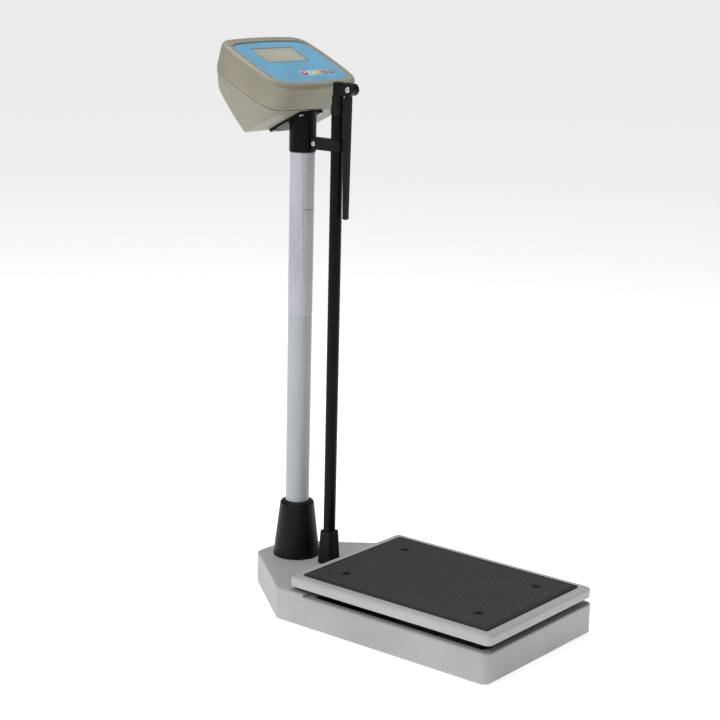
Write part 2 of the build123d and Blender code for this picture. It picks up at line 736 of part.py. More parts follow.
arm_half = 5.0
arm_shoulder = 797.0
arm_tip = 611.0
arm_reach = 20.0             # either side of the pivot, the depth within which the arm lies
with BuildPart() as measuring_arm:
    with BuildSketch(Plane.YZ.offset(-arm_half)):
        with BuildLine():
            Line((91.0, arm_shoulder), (103.0, arm_shoulder))
            Line((103.0, arm_shoulder), (99.6, arm_tip + 4))
            ThreePointArc((99.6, arm_tip + 4), (96.6, arm_tip), (93.6, arm_tip + 4))
            Line((93.6, arm_tip + 4), (91.0, arm_shoulder))
        make_face()
    extrude(amount=2 * arm_half)
    fillet(measuring_arm.edges().filter_by(
        lambda e: abs(e.center().X) > arm_half - 0.1 and e.length > 100), 1.4)
    with BuildSketch(Plane.XZ.offset(-pivot_y + arm_reach)):
        with Locations((0, (arm_tip + pivot_z) / 2)):
            RectangleRounded(2 * arm_half, pivot_z - arm_tip, arm_half - 0.01)
    extrude(amount=-2 * arm_reach, mode=Mode.INTERSECT)
    with BuildSketch(Plane.YZ.offset(-cheek_inner + 0.4)):
        with Locations((pivot_y, pivot_z)):
            Circle(8.6)
        with Locations((95.5, (pivot_z + arm_shoulder) / 2 - 2)):
            Rectangle(8, pivot_z - arm_shoulder)
    extrude(amount=2 * (cheek_inner - 0.4))
    with BuildSketch(Plane.YZ.offset(-cheek_inner)):
        with Locations((pivot_y, pivot_z)):
            Circle(pin_radius + running)
    extrude(amount=2 * cheek_inner, mode=Mode.SUBTRACT)
save(measuring_arm, "measuring_arm")

# ---------------------------------------------------------------- console cases
case_crest = 1.6             # the rim round the panel stands this far above it
case_shift = 3.0             # the cases reach a little further behind the panel than before it
upper_half_width = 97.0
upper_half_height = 71.0
case_bow = 6.0
case_corner = 32.0
lower_half_width = 92.0
lower_half_height = 66.0
lower_shift = 1.0              # brings the lower case's rim under the upper case's skirt
belly_half_width = 71.0
belly_half_height = 42.0
lower_corner = 27.0           # at the seam; the belly's corners are sharper
belly_corner = 14.0
rim_slope = 1.6              # the recess round the panel widens by this towards its mouth
lens_x = -3.5
lens_along = 22.5
lens_width = 94.0
lens_height = 41.0
overlay_half_width = 83.0
overlay_half_height = 56.0
overlay_bow = 5.0
overlay_corner = 20.0
overlay_recess = 1.0
overlay_thickness = 0.8
key_along = -35.0
key_xs = [-5.0, 10.5, 26.0, 41.5, 57.0]
key_width = 12.0
key_height = 8.6
key_room = 0.35
key_crown = 0.6
boss_points = [(x, along) for x in (-68, 68) for along in (-42, 42)]
case_boss_points = [(x, along) for x in (-70, 70) for along in (-22, 22)]
boss_hole = 1.4
board_top = -12.4
case_ceiling = -overlay_recess - case_wall
key_flange = case_ceiling - 0.35
board_thickness = 1.6


def upper_body(inset, top, bottom):
    """The upper case's outer form, or its hollow when it is inset."""
    high = bowed_face(panel_plane.offset(top), upper_half_width - inset,
                      upper_half_height - inset, case_bow, case_corner - inset, case_shift)
    low = bowed_face(panel_plane.offset(bottom), upper_half_width - 3.0 - inset,
                     upper_half_height - 3.0 - inset, case_bow, case_corner - inset, case_shift - 2)
    with BuildPart() as body:
        loft([high, low], ruled=True)
    return body.part


def lower_body(inset, top):
    """The lower case's outer form, or its hollow when it is inset."""
    high = bowed_face(panel_plane.offset(top), lower_half_width - inset,
                      lower_half_height - inset, case_bow, lower_corner - inset, lower_shift)
    low = bowed_face(panel_plane.offset(-110), belly_half_width - inset,
                     belly_half_height - inset, case_bow, belly_corner - inset)
    with BuildPart() as body:
        loft([high, low], ruled=True)
        with BuildSketch(Plane.YZ.offset(-150)):
            with BuildLine():
                slope = (belly_rear[0] - belly_front[0]) / (belly_front[1] - belly_rear[1])
                Polyline(side_point(belly_front[0] - 60 * slope, belly_front[1] + 60),
                         side_point(shoulder[0], belly_front[1] + 60),
                         side_point(*shoulder), side_point(*belly_rear), close=True)
            make_face()
            if inset:
                offset(amount=-inset)
        extrude(amount=300, mode=Mode.INTERSECT)
    return body.part


with BuildPart() as upper_case:
    add(upper_body(0, case_crest, -seam_depth))
    rims = upper_case.edges().filter_by(
        lambda e: abs(panel_plane.to_local_coords(e.center()).Z - case_crest) < 0.01)
    fillet(rims, 7.5)
    skirts = upper_case.edges().filter_by(
        lambda e: abs(panel_plane.to_local_coords(e.center()).Z + seam_depth) < 0.01)
    fillet(skirts, 5.0)
    add(upper_body(case_wall + 5.5, case_ceiling, -seam_depth - 1), mode=Mode.SUBTRACT)
    loft([bowed_face(panel_plane.offset(case_crest), overlay_half_width + rim_slope,
                     overlay_half_height + rim_slope, overlay_bow, overlay_corner + rim_slope),
          bowed_face(panel_plane.offset(-overlay_recess), overlay_half_width + 0.4,
                     overlay_half_height + 0.4, overlay_bow, overlay_corner + 0.4)],
         ruled=True, mode=Mode.SUBTRACT)
    with BuildSketch(panel_plane):
        with Locations((lens_x, lens_along)):
            Rectangle(lens_width - 4, lens_height - 4)
        with Locations(*[(x, key_along) for x in key_xs]):
            RectangleRounded(key_width + 2 * key_room, key_height + 2 * key_room, 2)
    extrude(amount=-2 * case_wall, mode=Mode.SUBTRACT)
    with BuildSketch(panel_plane.offset(case_ceiling)):
        with Locations(*boss_points):
            Circle(3.5)
    extrude(amount=board_top - case_ceiling)
    with BuildSketch(panel_plane.offset(case_ceiling)):
        with Locations(*case_boss_points):
            Circle(4.5)
    extrude(amount=-seam_depth - case_ceiling)
    with BuildSketch(panel_plane.offset(board_top)):
        with Locations(*boss_points):
            Circle(boss_hole + clear)
    extrude(amount=8, mode=Mode.SUBTRACT)
    with BuildSketch(panel_plane.offset(-seam_depth)):
        with Locations(*case_boss_points):
            Circle(boss_hole + clear)
    extrude(amount=14, mode=Mode.SUBTRACT)
save(upper_case, "upper_case")

jack_along_face = 0.55
jack_x = 57.5
slope_y, slope_z = side_point(*shoulder)
jack_origin = (jack_x, rear_y + (slope_y - rear_y) * jack_along_face,
               rear_z + (slope_z - rear_z) * jack_along_face)
slope_angle = atan2(slope_z - rear_z, slope_y - rear_y)
jack_plane = Plane(origin=jack_origin, x_dir=(1, 0, 0), z_dir=(0, sin(slope_angle), -cos(slope_angle)))
jack_radius = 4.6

lower_form = lower_body(0, -seam_depth)
with BuildPart() as lower_case:
    add(lower_form)
    creases = lower_case.edges().filter_by(Axis.X).filter_by(
        lambda e: panel_plane.to_local_coords(e.center()).Z < -seam_depth - 5)
    fillet(creases, 5.0)
    add(lower_body(case_wall, -seam_depth + 1), mode=Mode.SUBTRACT)
    with BuildSketch(panel_plane.offset(-seam_depth)):
        with Locations(*case_boss_points):
            Circle(4.5)
    extrude(amount=-60)
    add(lower_form, mode=Mode.INTERSECT)
    with BuildSketch(panel_plane.offset(-seam_depth)):
        with Locations(*case_boss_points):
            Circle(boss_hole + 0.3)
    extrude(amount=-60, mode=Mode.SUBTRACT)
    with BuildSketch(panel_plane.offset(-seam_depth - 8)):
        with Locations(*case_boss_points):
            Circle(3.2)
    extrude(amount=-60, mode=Mode.SUBTRACT)
    with BuildSketch(upward(0, column_y, bracket_z - 20)):
        Circle(column_cable_hole - 3)
    extrude(amount=40, mode=Mode.SUBTRACT)
    with BuildSketch(bracket_plane):
        with Locations(*bracket_screws):
            Circle(2.0 + clear)
    extrude(amount=8, mode=Mode.SUBTRACT)
    with BuildSketch(jack_plane):
        Circle(jack_radius + clear)
    extrude(amount=-14, mode=Mode.SUBTRACT)
save(lower_case, "lower_case")

boss_floor = panel_plane.offset(-seam_depth - 8)
case_screw_places = [Plane(origin=boss_floor.from_local_coords(Vector(x, along, 0)),
                           x_dir=(1, 0, 0), z_dir=-panel_plane.z_dir)
                     for x, along in case_boss_points]
screws("case_screws", case_screw_places, boss_hole, 20.0, 2.8, 1.8)

with BuildPart() as panel_overlay:
    extrude(bowed_face(panel_plane.offset(-overlay_recess), overlay_half_width,
                       overlay_half_height, overlay_bow, overlay_corner), amount=overlay_thickness)
    with BuildSketch(panel_plane):
        with Locations((lens_x, lens_along)):
            Rectangle(lens_width, lens_height)
        with Locations(*[(x, key_along) for x in key_xs]):
            RectangleRounded(key_width + 2 * key_room, key_height + 2 * key_room, 2)
    extrude(amount=-overlay_recess, mode=Mode.SUBTRACT)
save(panel_overlay, "panel_overlay")

with BuildPart() as lcd_window:
    with BuildSketch(panel_plane.offset(-overlay_recess)):
        with Locations((lens_x, lens_along)):
            Rectangle(lens_width - 0.3, lens_height - 0.3)
    extrude(amount=overlay_thickness - 0.15)
save(lcd_window, "lcd_window")

with BuildPart() as lcd_module:
    with BuildSketch(panel_plane.offset(case_ceiling - 0.2)):
        with Locations((lens_x, lens_along)):
            RectangleRounded(lens_width + 8, lens_height + 8, 1.5)
    extrude(amount=board_top - case_ceiling + 0.2)
    chamfer(lcd_module.edges().filter_by(
        lambda e: abs(panel_plane.to_local_coords(e.center()).Z - case_ceiling + 0.2) < 0.01), 0.8)
save(lcd_module, "lcd_module")

for number, x in enumerate(key_xs, start=1):
    with BuildPart() as key:
        with BuildSketch(panel_plane.offset(key_flange)):
            with Locations((x, key_along)):
                RectangleRounded(key_width, key_height, 1.6)
        extrude(amount=key_crown - key_flange)
        fillet(key.edges().filter_by(
            lambda e: abs(panel_plane.to_local_coords(e.center()).Z - key_crown) < 0.01), 0.45)
        with BuildSketch(panel_plane.offset(key_flange)):
            with Locations((x, key_along)):
                RectangleRounded(key_width + 2.2, key_height + 3.0, 1.6)
        extrude(amount=-0.8)
    save(key, f"key_{number}")

with BuildPart() as key_switches:
    with BuildSketch(panel_plane.offset(board_top)):
        with Locations(*[(x, key_along) for x in key_xs]):
            Rectangle(6, 6)
    extrude(amount=5.0)
    with BuildSketch(panel_plane.offset(board_top)):
        with Locations(*[(x, key_along) for x in key_xs]):
            Circle(1.7)
    extrude(amount=6.6)
save(key_switches, "key_switches")

with BuildPart() as main_board:
    with BuildSketch(panel_plane.offset(board_top)):
        RectangleRounded(148, 94, 6)
        with Locations(*boss_points):
            Circle(boss_hole + clear, mode=Mode.SUBTRACT)
        with Locations(*case_boss_points):
            Circle(5.0, mode=Mode.SUBTRACT)
    extrude(amount=-board_thickness)
    with BuildSketch(panel_plane.offset(board_top - board_thickness)):
        with Locations((0, -38)):
            Rectangle(14, 9)
        with Locations((-45, 10), (-45, -22)):
            Rectangle(14, 18)
        with Locations((48, 14)):
            Rectangle(22, 12)
    extrude(amount=-4.2)
save(main_board, "main_board")

board_back = panel_plane.offset(board_top - board_thickness)
screws("board_screws",
       [Plane(origin=board_back.from_local_coords(Vector(x, along, 0)), x_dir=(1, 0, 0),
              z_dir=-panel_plane.z_dir) for x, along in boss_points],
       boss_hole, 8.0, 2.8, 1.6)

battery_top = -22.0
battery_height = 46.0
with BuildPart() as battery:
    with BuildSketch(panel_plane.offset(battery_top)):
        with Locations((0, 6)):
            Rectangle(100, 66)
    extrude(amount=-battery_height)
    fillet(battery.edges(), 1.5)
    with BuildSketch(panel_plane.offset(battery_top - 0.1)):
        with Locations((-42, 24), (-42, -10)):
            Rectangle(5, 6)
    extrude(amount=3.0)
save(battery, "battery")

with BuildPart() as charger_socket:
    with BuildSketch(jack_plane):
        Circle(6.6)
    extrude(amount=1.6)
    with BuildSketch(jack_plane):
        Circle(jack_radius)
    extrude(amount=-11)
    with BuildSketch(jack_plane.offset(1.6)):
        Circle(2.8)
    extrude(amount=-10, mode=Mode.SUBTRACT)
    with BuildSketch(jack_plane.offset(-8.4)):
        Circle(1.0)
    extrude(amount=8)
save(charger_socket, "charger_socket")

# ---------------------------------------------------------------- signal cable
cable_start = platform_y + cell_length / 2 - 3
cable_end = 810.5
with BuildPart() as signal_cable:
    with BuildLine() as route:
        FilletPolyline((0, cable_start, cable_height), (0, column_y, cable_height),
                       (0, column_y, cable_end), radius=cable_bend)
    with BuildSketch(Plane(origin=(0, cable_start, cable_height), x_dir=(1, 0, 0), z_dir=(0, 1, 0))):
        Circle(cable_radius)
    sweep(path=route.wire())
save(signal_cable, "signal_cable")
print("cable bend radius", cable_bend, "length", round(route.wire().length, 1))
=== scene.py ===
import json
import math

import bmesh
import bpy
from bpy.props import FloatProperty, FloatVectorProperty, PointerProperty
from mathutils import Matrix, Vector, noise


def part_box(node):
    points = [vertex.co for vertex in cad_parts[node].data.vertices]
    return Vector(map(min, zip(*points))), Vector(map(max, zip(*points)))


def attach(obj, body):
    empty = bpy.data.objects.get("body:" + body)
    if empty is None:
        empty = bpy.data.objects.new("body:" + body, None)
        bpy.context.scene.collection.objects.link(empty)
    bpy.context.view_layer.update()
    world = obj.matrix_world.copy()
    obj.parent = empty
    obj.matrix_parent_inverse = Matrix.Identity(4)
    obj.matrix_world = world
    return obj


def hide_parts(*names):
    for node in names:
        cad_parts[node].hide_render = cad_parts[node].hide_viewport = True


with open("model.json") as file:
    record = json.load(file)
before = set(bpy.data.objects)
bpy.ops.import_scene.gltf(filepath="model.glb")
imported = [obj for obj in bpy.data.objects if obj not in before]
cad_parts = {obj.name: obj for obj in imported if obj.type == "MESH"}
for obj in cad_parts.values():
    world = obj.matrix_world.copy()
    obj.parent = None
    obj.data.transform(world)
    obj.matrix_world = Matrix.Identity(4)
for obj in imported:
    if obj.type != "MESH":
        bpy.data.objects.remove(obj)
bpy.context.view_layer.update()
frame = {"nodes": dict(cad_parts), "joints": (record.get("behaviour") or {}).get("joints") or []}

bl_info = {
    "name": "Column scale",
    "version": (1, 0, 0),
    "blender": (4, 5, 0),
    "location": "View3D > Sidebar > Column scale",
    "description": "Finishes and fine details of an electronic column scale with a height rod",
    "category": "Add Mesh",
}

MM = 0.001


# ---------------------------------------------------------------- places taken from the frame
def middle(node):
    """The middle of a CAD node's box."""
    low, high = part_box(node)
    return (low + high) / 2


def joint(name):
    """One joint of the record, by its name."""
    return next(entry for entry in frame["joints"] if entry["name"] == name)


PANEL_NORMAL = Vector(joint("key_1_press")["axis"]).normalized()
PANEL_UP = PANEL_NORMAL.cross(Vector((1, 0, 0)))
PANEL_MIDDLE = middle("panel_overlay")
KEYS = [f"key_{number}" for number in range(1, 6)]
FEET = [f"levelling_foot_{number}" for number in range(1, 5)]


def on_panel(point):
    """A point's place on the console's panel: across it, and up its slope."""
    return point.x, (point - PANEL_MIDDLE).dot(PANEL_UP)


# ---------------------------------------------------------------- shader values
class Wire:
    """A shader value: arithmetic on it adds Math nodes to the finish that it belongs to."""

    def __init__(self, finish, socket):
        self.finish = finish
        self.socket = socket

    def math(self, operation, *values):
        node = self.finish.node("ShaderNodeMath", {"operation": operation},
                                dict(enumerate(values)))
        return Wire(self.finish, node.outputs[0])

    def __add__(self, other):
        return self.math("ADD", self, other)

    def __radd__(self, other):
        return self.math("ADD", other, self)

    def __sub__(self, other):
        return self.math("SUBTRACT", self, other)

    def __rsub__(self, other):
        return self.math("SUBTRACT", other, self)

    def __mul__(self, other):
        return self.math("MULTIPLY", self, other)

    def __rmul__(self, other):
        return self.math("MULTIPLY", other, self)

    def __mod__(self, other):
        return self.math("FLOORED_MODULO", self, other)

    def __lt__(self, other):
        return self.math("LESS_THAN", self, other)

    def __gt__(self, other):
        return self.math("GREATER_THAN", self, other)

    def __abs__(self):
        return self.math("ABSOLUTE", self)

    def near(self, value, reach):
        """1 where this value lies within reach of another one."""
        return abs(self - value) < reach

    def ramp(self, start, end):
        """0 below start, 1 above end, and smooth between them."""
        node = self.finish.node("ShaderNodeMapRange", {"interpolation_type": "SMOOTHSTEP"},
                                {"Value": self, "From Min": start, "From Max": end})
        return Wire(self.finish, node.outputs[0])


class Finish:
    """A material in the making, built round one Principled shader."""

    def __init__(self, name, **constants):
        self.material = bpy.data.materials.new(name)
        self.material.use_nodes = True
        self.tree = self.material.node_tree
        self.shader = self.tree.nodes["Principled BSDF"]
        self.set(constants)
        self.place = Wire(self, self.node("ShaderNodeTexCoord").outputs["Object"])

    def node(self, kind, settings=None, values=None):
        made = self.tree.nodes.new(kind)
        for key, value in (settings or {}).items():
            setattr(made, key, value)
        for key, value in (values or {}).items():
            self.feed(made.inputs[key], value)
        return made

    def feed(self, socket, value):
        if isinstance(value, Wire):
            self.tree.links.new(value.socket, socket)
        else:
            socket.default_value = value

    def set(self, values):
        for key, value in values.items():
            socket = key.replace("_", " ").title().replace("Ior", "IOR")
            self.feed(self.shader.inputs[socket], value)

    def axes(self):
        """The object's own X, Y and Z."""
        split = self.node("ShaderNodeSeparateXYZ", {}, {"Vector": self.place})
        return [Wire(self, socket) for socket in split.outputs]

    def panel_axes(self):
        """Across the console's panel, and up its slope."""
        x, y, z = self.axes()
        up = ((y - PANEL_MIDDLE.y) * PANEL_UP.y) + ((z - PANEL_MIDDLE.z) * PANEL_UP.z)
        return x, up

    def stretched(self, x, y, z):
        """The object's coordinates, scaled along each axis."""
        node = self.node("ShaderNodeMapping", {}, {"Vector": self.place, "Scale": (x, y, z)})
        return Wire(self, node.outputs[0])

    def clouds(self, scale, detail=3.0, place=None):
        """Fractal noise from 0 to 1."""
        node = self.node("ShaderNodeTexNoise", {},
                         {"Vector": place or self.place, "Scale": scale, "Detail": detail})
        return Wire(self, node.outputs[0])

    def cells(self, scale, feature="F1", place=None):
        """The distance field of a Voronoi pattern."""
        node = self.node("ShaderNodeTexVoronoi", {"feature": feature},
                         {"Vector": place or self.place, "Scale": scale})
        return Wire(self, node.outputs["Distance"])

    def mix(self, factor, first, second):
        """A colour between two, by a factor."""
        node = self.node("ShaderNodeMix", {"data_type": "RGBA"},
                         {0: factor, 6: first, 7: second})
        return Wire(self, node.outputs[2])

    def bump(self, height, depth, under=None):
        """A normal bent by a height of 0 to 1 that stands for a real depth."""
        values = {"Height": height, "Distance": depth}
        if under:
            values["Normal"] = under
        return Wire(self, self.node("ShaderNodeBump", {}, values).outputs[0])


def rgba(colour, shade=1.0):
    """A colour with its alpha, made darker or lighter by a shade."""
    return (colour[0] * shade, colour[1] * shade, colour[2] * shade, 1.0)


def screen(red, green, blue):
    """A colour that is given as it looks on a screen, from 0 to 255, as light."""
    def light(value):
        value = value / 255
        return value / 12.92 if value <= 0.04045 else ((value + 0.055) / 1.055) ** 2.4
    return light(red), light(green), light(blue)


WHITE_DUST = rgba(screen(205, 204, 200))

CAMERA_PLACE = (-2.1476, -1.6431, 1.0392)
LAMPS_AIM = Vector((0.0, 0.0, 0.45))
LAMPS = (("key_light", (-2.5, 0.2, 2.3), 1.6, 1.0),
         ("top_light", (0.2, 0.5, 3.0), 1.8, 1.15))
FAR_FLOOR_LIGHT = 0.834      # the sky behind the floor is seen as bright as the floor's far end


# ---------------------------------------------------------------- finishes
def moulded_plastic(name, colour, rough, grain, drift=0.1, dust=0.15, **constants):
    """Plastic from a textured mould: a fine spark grain, cloudy colour and a little dust."""
    finish = Finish(name, **constants)
    cloud = finish.clouds(9.0)
    specks = finish.clouds(160.0, 4.0)
    tone = finish.mix(cloud.ramp(0.35, 0.65), rgba(colour, 1 - drift), rgba(colour, 1 + drift / 2))
    dusty = specks.ramp(0.58, 0.75) * cloud.ramp(0.45, 0.7) * dust
    texture = finish.clouds(grain, 4.0)
    under = finish.bump(finish.clouds(45.0), 0.00025)
    finish.set({"base_color": finish.mix(dusty, tone, WHITE_DUST),
                "roughness": rough + (specks - 0.5) * 0.18 + dusty * 0.5,
                "normal": finish.bump(texture, 0.00005, under)})
    return finish


def powder_coat(name, colour, rough, drift=0.06):
    """Stoved powder paint on steel: orange peel, a faint speckle and a soft gloss."""
    finish = Finish(name, coat_weight=0.15, coat_roughness=0.3)
    cloud = finish.clouds(6.0)
    peel = finish.cells(420.0, "SMOOTH_F1")
    speckle = finish.clouds(1500.0, 2.0).ramp(0.62, 0.72)
    tone = finish.mix(cloud.ramp(0.3, 0.7), rgba(colour, 1 - drift), rgba(colour, 1 + drift / 2))
    finish.set({"base_color": finish.mix(speckle * 0.12, tone, rgba(colour, 0.7)),
                "roughness": rough + (cloud - 0.5) * 0.12,
                "normal": finish.bump(peel, 0.00012)})
    return finish


def drawn_tube_paint(name, colour, rough, marks=None):
    """Paint on a drawn tube: long faint draw lines and, where asked, a printed centimetre scale."""
    finish = Finish(name, specular_ior_level=0.12)
    lines = finish.clouds(700.0, 2.0, finish.stretched(1, 1, 0.01))
    cloud = finish.clouds(22.0)
    scuffs = finish.clouds(260.0, 3.0, finish.stretched(1, 1, 0.12)).ramp(0.66, 0.74)
    tone = finish.mix(scuffs * 0.12, rgba(colour), rgba(screen(92, 92, 94)))
    if marks:
        x, y, z = finish.axes()
        first = 1 * MM
        fine = (z % (2 * MM)).near(first, 0.18 * MM) * abs(x).near(0.0, marks * 0.35)
        whole = (z % (10 * MM)).near(first, 0.28 * MM) * abs(x).near(0.0, marks * 0.7)
        front = y < middle("rod_inner_tube").y
        lines_there = (fine + whole) * front
        ink = lines_there.math("MINIMUM", lines_there, 1.0)
        tone = finish.mix(ink, tone, rgba(screen(225, 225, 220)))
    finish.set({"base_color": tone,
                "roughness": rough + (cloud - 0.5) * 0.2 + scuffs * 0.15,
                "normal": finish.bump(lines, 0.00003)})
    return finish


def satin_black(name, colour, rough, grain=1500.0):
    """Black injection-moulded plastic: a fine grain, light rub marks and pale dust in the grain."""
    finish = Finish(name, specular_ior_level=0.2)
    cloud = finish.clouds(28.0)
    rubs = finish.clouds(420.0, 3.0, finish.stretched(1.0, 0.8, 0.16)).ramp(0.64, 0.78)
    dust = finish.clouds(900.0, 2.0).ramp(0.66, 0.76) * cloud.ramp(0.5, 0.75)
    tone = finish.mix(cloud.ramp(0.35, 0.7), rgba(colour, 0.8), rgba(colour, 1.3))
    tone = finish.mix(rubs * 0.03, tone, rgba(screen(120, 120, 122)))
    finish.set({"base_color": finish.mix(dust * 0.03, tone, WHITE_DUST),
                "roughness": rough + (cloud - 0.5) * 0.2 - rubs * 0.08,
                "normal": finish.bump(finish.clouds(grain, 3.0), 0.00004)})
    return finish


def rubber(name, colour, rough=0.72, wear=0.3):
    """Dull rubber with a fine grain, worn paler in patches."""
    finish = Finish(name)
    cloud = finish.clouds(14.0)
    grain = finish.clouds(1300.0, 4.0)
    worn = cloud.ramp(0.45, 0.75) * grain.ramp(0.45, 0.7)
    finish.set({"base_color": finish.mix(worn * wear, rgba(colour), rgba(colour, 2.2)),
                "roughness": rough + (grain - 0.5) * 0.25,
                "normal": finish.bump(grain, 0.00006)})
    return finish


def zinc_plate(name, colour, spangle=90.0, rough=0.32):
    """Zinc-plated steel: a cloudy, slightly blue brightness with fine rolling lines."""
    finish = Finish(name, metallic=1.0)
    cells = finish.cells(spangle)
    cloud = finish.clouds(60.0, 4.0)
    lines = finish.clouds(900.0, 2.0, finish.stretched(0.05, 1, 1))
    tone = finish.mix(cells.ramp(0.1, 0.8), rgba(colour, 0.86), rgba(colour, 1.06))
    tone = finish.mix(cloud.ramp(0.6, 0.8) * 0.25, tone, rgba(screen(150, 148, 140)))
    finish.set({"base_color": tone,
                "roughness": rough + (cloud - 0.5) * 0.25,
                "normal": finish.bump(lines, 0.00002)})
    return finish


def milled_aluminium(name, colour):
    """Milled aluminium: fine cutter lines along the bar and a satin anodised bloom."""
    finish = Finish(name, metallic=1.0)
    lines = finish.clouds(1400.0, 3.0, finish.stretched(1, 0.03, 1))
    bloom = finish.clouds(40.0)
    finish.set({"base_color": finish.mix(lines, rgba(colour, 0.88), rgba(colour, 1.05)),
                "roughness": 0.3 + (bloom - 0.5) * 0.15 + lines * 0.1,
                "normal": finish.bump(lines, 0.00003)})
    return finish


def panel_print(name, colours):
    """The panel's polyester overlay: printed frame, dashes and key borders on a blue ground, with a
    painted sheen.
    """
    finish = Finish(name, coat_weight=0.35, coat_roughness=0.18)
    x, up = finish.panel_axes()

    def bar(centre, half_width, half_height):
        """1 inside a rectangle of the panel."""
        return x.near(centre[0], half_width) * up.near(centre[1], half_height)

    cloud = finish.clouds(30.0)
    screen_dots = finish.cells(1600.0)
    ground = finish.mix(cloud.ramp(0.35, 0.65), rgba(colours.panel, 0.93),
                        rgba(colours.panel, 1.04))
    # Painted sheen: the blue ground is mixed towards a paler blue towards the right and top of the
    # panel.
    band = (up * 0.55 + x).ramp(-0.03, 0.07)
    ground = finish.mix(band * 0.18, ground, rgba(screen(120, 190, 222)))

    lens = middle("lcd_window")
    lens_low, lens_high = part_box("lcd_window")
    lens_half = (lens_high.x - lens_low.x) / 2
    lens_tall = (lens_high - lens_low).dot(PANEL_UP) / 2
    lens_at = on_panel(lens)
    dark = rgba(screen(96, 84, 92))
    ground = finish.mix(bar(lens_at, lens_half + 1.4 * MM, lens_tall + 1.4 * MM), ground, dark)

    broken = finish.clouds(520.0, 0.0, finish.stretched(1, 0.1, 0.1)).ramp(0.46, 0.5)
    rows = ((-20 * MM, -3.2 * MM, 9 * MM), (-2 * MM, -3.8 * MM, 7 * MM),
            (-13 * MM, -8.0 * MM, 10 * MM), (12 * MM, -8.6 * MM, 6 * MM))
    for across, slope, reach in rows:
        dash = bar((lens_at[0] + across, slope), reach, 0.7 * MM) * broken
        ground = finish.mix(dash * 0.8, ground, rgba(screen(52, 78, 104)))

    key_low, key_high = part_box(KEYS[0])
    key_tall = (key_high - key_low).dot(PANEL_UP) / 2
    trim = ((0.62, 0.54, 0.54), (0.60, 0.62, 0.62), (0.62, 0.57, 0.42), (0.5, 0.38, 0.43),
            (0.5, 0.38, 0.43))
    for key, border in zip(KEYS, trim):
        spot = on_panel(middle(key))
        ground = finish.mix(bar(spot, 7.4 * MM, key_tall + 0.4 * MM) * 0.75, ground, rgba(border))

    legend = bar((-48 * MM, -36 * MM), 11 * MM, 0.8 * MM) * broken
    ground = finish.mix(legend * 0.8, ground, rgba(screen(70, 84, 108)))
    notice = bar((-38 * MM, -43.5 * MM), 30 * MM, 0.9 * MM) * broken
    ground = finish.mix(notice * 0.75, ground, rgba(screen(150, 92, 104)))
    finish.set({"base_color": ground,
                "roughness": 0.34 + (cloud - 0.5) * 0.1,
                "normal": finish.bump(screen_dots, 0.00002)})
    return finish


def key_cap(name, colour, mark, key):
    """A glossy key with a printed bar across its crown."""
    finish = Finish(name, coat_weight=0.4, coat_roughness=0.15)
    x, up = finish.panel_axes()
    across, slope = on_panel(middle(key))
    cloud = finish.clouds(120.0)
    wave = slope + (x - across).math("SINE", (x - across) * 900.0) * 0.0012
    stroke = up.near(wave, 0.0009) * x.near(across, 0.0036)
    tone = finish.mix(cloud.ramp(0.3, 0.7), rgba(colour, 0.88), rgba(colour, 1.06))
    finish.set({"base_color": finish.mix(stroke, tone, rgba(mark)),
                "roughness": 0.32 + (cloud - 0.5) * 0.15,
                "normal": finish.bump(finish.clouds(900.0), 0.00003)})
    return finish


def display_lens(name, colour):
    """The clear window over the display, tinted, with faint smears and a painted reflection."""
    finish = Finish(name, coat_weight=1.0, coat_roughness=0.06, alpha=0.55)
    smear = finish.clouds(70.0, 4.0, finish.stretched(0.6, 1.4, 1))
    x, up = finish.panel_axes()
    # Painted reflection: the window's tint is lighter towards the right and top.
    painted_reflection = (x * 0.7 + up).ramp(-0.04, 0.05)
    finish.set({"base_color": finish.mix(painted_reflection, rgba(colour, 0.92), rgba(colour, 1.12)),
                "roughness": 0.12 + smear.ramp(0.5, 0.8) * 0.2,
                "normal": finish.bump(smear, 0.00002)})
    return finish


def display_glass(name, colour):
    """The display: a grey-green field of blank figures inside a paler border."""
    finish = Finish(name, coat_weight=0.3, coat_roughness=0.2)
    x, up = finish.panel_axes()
    lens_at = on_panel(middle("lcd_window"))
    field = x.near(lens_at[0], 43 * MM) * up.near(lens_at[1], 17 * MM)
    pitch = 15 * MM
    across = (x - lens_at[0] + 3 * pitch) % pitch - pitch / 2
    figure = abs(across) < 5 * MM
    hollow = abs(across) < 3.6 * MM
    tall = up.near(lens_at[1], 11 * MM)
    holes = up.near(lens_at[1] + 5.3 * MM, 4 * MM) + up.near(lens_at[1] - 5.3 * MM, 4 * MM)
    ghost = field * figure * tall * (1 - hollow * holes)
    fibre = finish.clouds(800.0)
    tone = finish.mix(field, rgba(colour, 1.12), rgba(colour, 0.98))
    tone = finish.mix(ghost * 0.1, tone, rgba(colour, 0.5))
    finish.set({"base_color": tone,
                "roughness": 0.4 + (fibre - 0.5) * 0.2,
                "normal": finish.bump(fibre, 0.00002)})
    return finish


def circuit_board(name, colour):
    """A green board: copper tracks under the mask, and pads."""
    finish = Finish(name, coat_weight=0.4, coat_roughness=0.2)
    tracks = finish.cells(170.0, "DISTANCE_TO_EDGE")
    copper = 1 - tracks.ramp(0.03, 0.07)
    pads = 1 - finish.cells(330.0).ramp(0.16, 0.2)
    tone = finish.mix(copper, rgba(colour), rgba(colour, 1.9))
    finish.set({"base_color": finish.mix(pads, tone, rgba(screen(190, 186, 170))),
                "roughness": 0.35 + copper * 0.1,
                "metallic": pads * 0.8,
                "normal": finish.bump(copper + pads, 0.00004)})
    return finish


